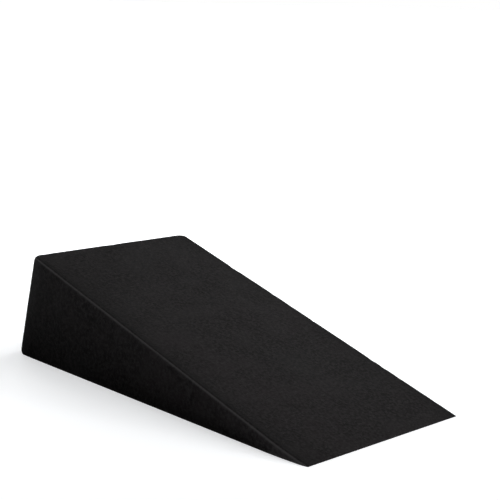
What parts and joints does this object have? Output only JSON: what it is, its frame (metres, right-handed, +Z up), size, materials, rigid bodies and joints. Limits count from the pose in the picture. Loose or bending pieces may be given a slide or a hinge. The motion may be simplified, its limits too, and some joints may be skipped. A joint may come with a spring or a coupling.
{
  "type": "foam slant board wedge",
  "caption": "Wedge of closed-cell foam that a foot stands on for calf stretches and heel-raised exercises, with a printed mark on its tall end.",
  "frame": {"origin": "middle of the base, on the floor", "axes": "+X from the tall end to the thin edge, +Y to the left seen from behind the tall end, +Z up"},
  "size_m": [0.3, 0.142, 0.0773],
  "materials": {
    "black_foam": "matt closed-cell foam, cut surface",
    "white_print": "matt heat-pressed film"
  },
  "bodies": {
    "root": {"foam_wedge": "black_foam", "print_badge": "white_print", "print_bar_1": "white_print", "print_bar_2": "white_print", "print_bar_3": "white_print", "print_bar_4": "white_print", "print_bar_5": "white_print", "print_bar_6": "white_print"}
  },
  "joints": []
}
